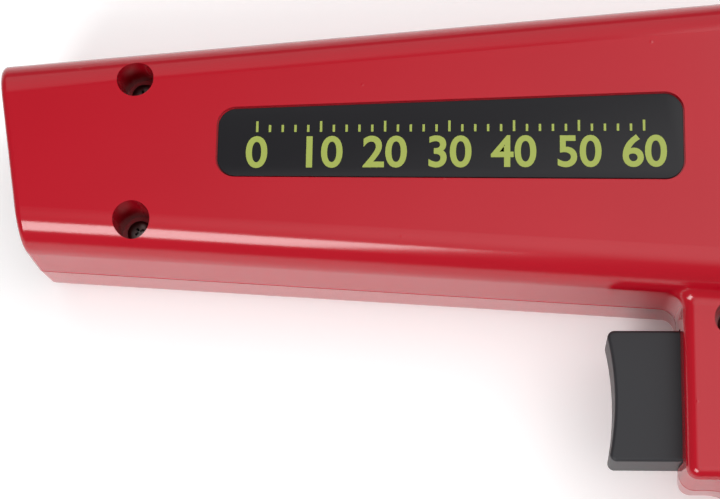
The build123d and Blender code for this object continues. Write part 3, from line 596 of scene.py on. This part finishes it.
coil_points = []
for step in range(int(COIL_TURNS * COIL_STEPS) + 1):
    turn = step / COIL_STEPS
    angle = math.tau * turn
    along = spring_low.x + WIRE + coil_travel(turn)
    across = (coil_y + coil_radius * math.cos(angle), PARTING + coil_radius * math.sin(angle))
    coil_points.append((along, *across))
spring = piece_from(
    wire_mesh(coil_points, WIRE, "spring_line"), "trigger_spring_coil", "spring_steel",
    ["trigger_spring"], smooth_below=80,
)
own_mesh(spring)

# %% [markdown]
# ## Transformer winding
# A wound coil shows its turns. Each turn is a closed loop of enamelled wire with
# rounded corners around the bobbin, and a loop lays one against the next.

# %% The turns of wire
winding_low, winding_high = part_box("transformer_winding")
TURN_WIRE = 0.28 * MM
CORNER = 1.6 * MM
CORNER_STEPS = 5


def wound_loop(low_x, high_x, low_z, high_z, y):
    points = []
    corners = [(high_x, high_z, 0), (low_x, high_z, 90), (low_x, low_z, 180), (high_x, low_z, 270)]
    for x, z, start in corners:
        middle_x = x - math.copysign(CORNER, x - (low_x + high_x) / 2)
        middle_z = z - math.copysign(CORNER, z - (low_z + high_z) / 2)
        for step in range(CORNER_STEPS + 1):
            angle = math.radians(start + 90 * step / CORNER_STEPS)
            place = (middle_x + CORNER * math.cos(angle), y, middle_z + CORNER * math.sin(angle))
            points.append(place)
    return points


winding = bmesh.new()
turn_count = int((winding_high.y - winding_low.y) / (2 * TURN_WIRE))
for turn in range(turn_count):
    y = winding_low.y + TURN_WIRE * (1 + 2 * turn)
    loop = wound_loop(
        winding_low.x + TURN_WIRE, winding_high.x - TURN_WIRE,
        winding_low.z + TURN_WIRE, winding_high.z - TURN_WIRE, y,
    )
    one = wire_mesh(loop, TURN_WIRE, "turn", 1, closed=True)
    one_mesh = bpy.data.meshes.new("turn")
    one.to_mesh(one_mesh)
    one.free()
    winding.from_mesh(one_mesh)
piece_from(winding, "winding_turns", "copper_winding", ["transformer_winding"], smooth_below=80)
print("turns:", turn_count)

# %% [markdown]
# ## Small marks on the circuit board parts
# A resistor is known by its colour bands, an electrolytic capacitor by its bare
# aluminium end with a pressure cross, and a board by its tracks and solder joints.

# %% Resistor bands
BAND_COLOURS = {
    "band_brown": (0.12, 0.04, 0.02),
    "band_violet": (0.13, 0.04, 0.3),
    "band_gold": (0.6, 0.42, 0.12),
}
BOARD_TOP = -12.0
BODY_LIFT = 0.5
BAND_SPACING = 0.24
BAND_HALF = 0.42
BAND_PROUD = 0.06
band_looks = [finish_named(name, tint, 0.35) for name, tint in BAND_COLOURS.items()]
resistor_sizes = {"small": (123.0, 14.0, 1.2, 6.5), "large": (102.6, 15.0, 1.6, 9.0)}
for size_name, (x, y, radius, body_length) in resistor_sizes.items():
    for index, look in enumerate(band_looks):
        offset = (index - 1) * body_length * BAND_SPACING
        z = BOARD_TOP + radius + BODY_LIFT
        proud = radius + BAND_PROUD
        ring = [(-BAND_HALF, radius), (-BAND_HALF, proud), (BAND_HALF, proud), (BAND_HALF, radius)]
        ring.append(ring[0])
        band = bmesh.new()
        lathe(band, ring, 32, Vector((0, 0, 0)), (0, 1, 0))
        bmesh.ops.scale(band, vec=(MM, MM, MM), verts=band.verts)
        bmesh.ops.translate(band, vec=at(x, y + offset, z), verts=band.verts)
        piece_from(band, f"{look.name}_{size_name}", "resistor_body", look=look)

# %% Capacitor ends
ALUMINIUM = metal("capacitor_aluminium", (0.8, 0.8, 0.81), 0.3)


def capacitor_end(name, centre, axis, radius):
    """A thin aluminium disc with a rolled edge and a stamped cross."""
    shape = bmesh.new()
    rolled = [(-0.05, 0.0), (-0.05, 0.84), (0.2, 0.9), (0.07, 0.96), (-0.05, 0.97), (-0.2, 0.97), (-0.2, 0.0)]
    profile = [(along, share * radius) for along, share in rolled]
    lathe(shape, profile, 48, Vector((0, 0, 0)), (0, 0, 1))
    for half_turn in (0.0, math.pi / 2):
        bar = bmesh.ops.create_cube(shape, size=1.0)["verts"]
        bmesh.ops.scale(shape, vec=(radius * 1.1, 0.35, 0.12), verts=bar)
        bmesh.ops.rotate(shape, matrix=Matrix.Rotation(half_turn, 3, "Z"), verts=bar)
    turn = Vector((0, 0, 1)).rotation_difference(Vector(axis)).to_matrix()
    bmesh.ops.rotate(shape, matrix=turn, verts=shape.verts)
    bmesh.ops.scale(shape, vec=(MM, MM, MM), verts=shape.verts)
    bmesh.ops.translate(shape, vec=centre, verts=shape.verts)
    return piece_from(shape, name, "capacitor_sleeve", look=ALUMINIUM)


for name, axis in (("storage_capacitor", (1, 0, 0)), ("filter_capacitor", (0, 0, 1))):
    low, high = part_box(name)
    middle = (low + high) / 2
    direction = Vector(axis)
    end = middle + direction * (high - low).dot(direction) / 2
    span = (high - low).dot(Vector((0, 1, 0))) / 2 / MM
    capacitor_end(f"{name}_end", end, axis, span)

# %% Board tracks and solder joints
board_low, board_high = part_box("circuit_board")
TRACK = 0.04 * MM
solder_look = metal("solder", (0.72, 0.72, 0.74), 0.22)
track_look = metal("tinned_track", (0.6, 0.45, 0.25), 0.35)
tracks = bmesh.new()
for row in range(9):
    y = board_low.y + (row + 1) * (board_high.y - board_low.y) / 10
    reach = (0.35 + 0.5 * abs(math.sin(2.3 * row + 0.7))) * (board_high.x - board_low.x)
    start = board_low.x + 0.008 + 0.006 * abs(math.cos(1.9 * row))
    end = min(start + reach, board_high.x - 0.008)
    bar = bmesh.ops.create_cube(tracks, size=1.0)["verts"]
    bmesh.ops.scale(tracks, vec=(end - start, 1.1 * MM, TRACK), verts=bar)
    bmesh.ops.translate(tracks, vec=((start + end) / 2, y, board_low.z - TRACK / 2), verts=bar)
piece_from(tracks, "board_tracks", "copper_winding", look=track_look)

joints = bmesh.new()
for row in range(9):
    for column in range(4):
        x = board_low.x + 0.012 + 0.0195 * column + 0.004 * math.sin(3.1 * row + column)
        y = board_low.y + (row + 1) * (board_high.y - board_low.y) / 10
        cone = bmesh.ops.create_cone(
            joints, cap_ends=True, segments=16, radius1=1.1 * MM, radius2=0.4 * MM, depth=0.9 * MM,
        )["verts"]
        bmesh.ops.rotate(joints, matrix=Matrix.Rotation(math.pi, 3, "X"), verts=cone)
        bmesh.ops.translate(joints, vec=(x, y, board_low.z - 0.49 * MM), verts=cone)
piece_from(joints, "solder_joints", "nickel", look=solder_look, smooth_below=60)

# %% [markdown]
# ## Floor, light and camera
# The floor is a wide pale sheet, white around the tool and painted darker grey further
# out as a painted pool of light. The light is what the gloss shows, so it is placed
# by its reflections: a tall soft box low in front of the tool draws the bright strip
# along the barrel's lower edge, a large one behind and to the right lifts the side,
# and a pale world fills the rest.


# %% The floor, with a painted pool of light
FLOOR_NEAR = (0.94, 0.94, 0.94)
# Painted falloff: the grey the floor is painted away from the tool, in place of light falling off.
FLOOR_PAINTED_FALLOFF_GREY = (0.5, 0.5, 0.5)
FLOOR_GAP = 0.1 * MM
FLOOR_GLOW = 0.15


def floor_paper():
    """White around the tool, and painted grey further out: a painted pool of light that fades away from the
    tool.
    """
    material = finish_named("floor_paper", FLOOR_NEAR, 0.9)
    shader = material.node_tree.nodes["Principled BSDF"]
    shader.inputs["Emission Color"].default_value = (1.0, 1.0, 1.0, 1.0)
    shader.inputs["Emission Strength"].default_value = FLOOR_GLOW
    links = material.node_tree.links
    place = add_node(material, "ShaderNodeTexCoord")
    reach = add_node(material, "ShaderNodeVectorMath")
    reach.operation = "LENGTH"
    # The grey further out is painted shade: the floor's colour darkens with distance from the tool, like
    # light falling off.
    fade = add_node(material, "ShaderNodeMapRange", From_Min=0.17, From_Max=0.42)
    fade.interpolation_type = "SMOOTHSTEP"
    links.new(place.outputs["Object"], reach.inputs[0])
    links.new(reach.outputs["Value"], fade.inputs["Value"])
    vary_colour(material, fade.outputs["Result"], FLOOR_NEAR, FLOOR_PAINTED_FALLOFF_GREY)
    return material


def pale_floor():
    shape = bmesh.new()
    bmesh.ops.create_grid(shape, x_segments=1, y_segments=1, size=3.0)
    mesh = bpy.data.meshes.new("floor")
    shape.to_mesh(mesh)
    shape.free()
    mesh.materials.append(floor_paper())
    floor = bpy.data.objects.new("floor", mesh)
    floor.location.z = box_before[0][2] - FLOOR_GAP
    bpy.context.scene.collection.objects.link(floor)


pale_floor()


# %% Soft boxes
def soft_box(name, place, target, width, height, power):
    light = bpy.data.lights.new(name, "AREA")
    light.shape = "RECTANGLE"
    light.size = width
    light.size_y = height
    light.energy = power
    lamp = bpy.data.objects.new(name, light)
    lamp.location = place
    lamp.rotation_euler = (Vector(place) - Vector(target)).to_track_quat("Z", "Y").to_euler()
    bpy.context.scene.collection.objects.link(lamp)
    return lamp


TOOL_MIDDLE = Vector((0.0, 0.02, 0.03))
soft_box("edge_box", (-0.26, -0.46, 0.58), TOOL_MIDDLE, 0.34, 0.32, 4.2)
soft_box("side_box", (0.95, 0.65, 1.1), TOOL_MIDDLE, 1.5, 1.5, 13.0)
soft_box("top_box", (-0.25, 1.25, 0.95), TOOL_MIDDLE, 1.4, 1.2, 4.0)


# %% A room with a glow overhead
GLOW_TOWARDS = Vector((0.35, -0.1, 0.93)).normalized()
ROOM_DIM = 0.27
ROOM_BRIGHT = 1.9
GLOW_EDGE = 0.74
GLOW_CORE = 0.97


def glowing_room():
    """A dim grey room whose ceiling glows softly above the grip."""
    world = bpy.data.worlds.new("glowing_room")
    world.use_nodes = True
    tree = world.node_tree
    place = tree.nodes.new("ShaderNodeTexCoord")
    towards = tree.nodes.new("ShaderNodeVectorMath")
    towards.operation = "DOT_PRODUCT"
    towards.inputs[1].default_value = GLOW_TOWARDS
    fade = tree.nodes.new("ShaderNodeMapRange")
    fade.interpolation_type = "SMOOTHSTEP"
    fade.inputs["From Min"].default_value = GLOW_EDGE
    fade.inputs["From Max"].default_value = GLOW_CORE
    fade.inputs["To Min"].default_value = ROOM_DIM
    fade.inputs["To Max"].default_value = ROOM_BRIGHT
    tree.links.new(place.outputs["Generated"], towards.inputs[0])
    tree.links.new(towards.outputs["Value"], fade.inputs["Value"])
    tree.nodes["Background"].inputs["Color"].default_value = (1.0, 1.0, 1.0, 1.0)
    tree.links.new(fade.outputs["Result"], tree.nodes["Background"].inputs["Strength"])
    bpy.context.scene.world = world


glowing_room()

# %% [markdown]
# The camera looks down on the tool lying on its side, a little from the right and
# from below its barrel. The frame's long direction is kept level in the picture.

# %% The camera
CAMERA_PLACE = Vector((0.0102, -0.0917, 0.5084))
CAMERA_TARGET = Vector((-0.02335, 0.0288, 0.045))
EXPOSURE = -0.28
view = (CAMERA_TARGET - CAMERA_PLACE).normalized()
right = (Vector((1, 0, 0)) - view * view.x).normalized()
up = right.cross(view)
camera_data = bpy.data.cameras.new("camera")
camera_data.lens = 105.6
camera_data.sensor_width = 36.0
camera = bpy.data.objects.new("camera", camera_data)
camera.matrix_world = Matrix.Translation(CAMERA_PLACE) @ Matrix((right, up, -view)).transposed().to_4x4()
bpy.context.scene.collection.objects.link(camera)
bpy.context.scene.camera = camera
bpy.context.scene.view_settings.view_transform = "Standard"
bpy.context.scene.view_settings.exposure = EXPOSURE
print("camera looks along", tuple(round(part, 3) for part in view))
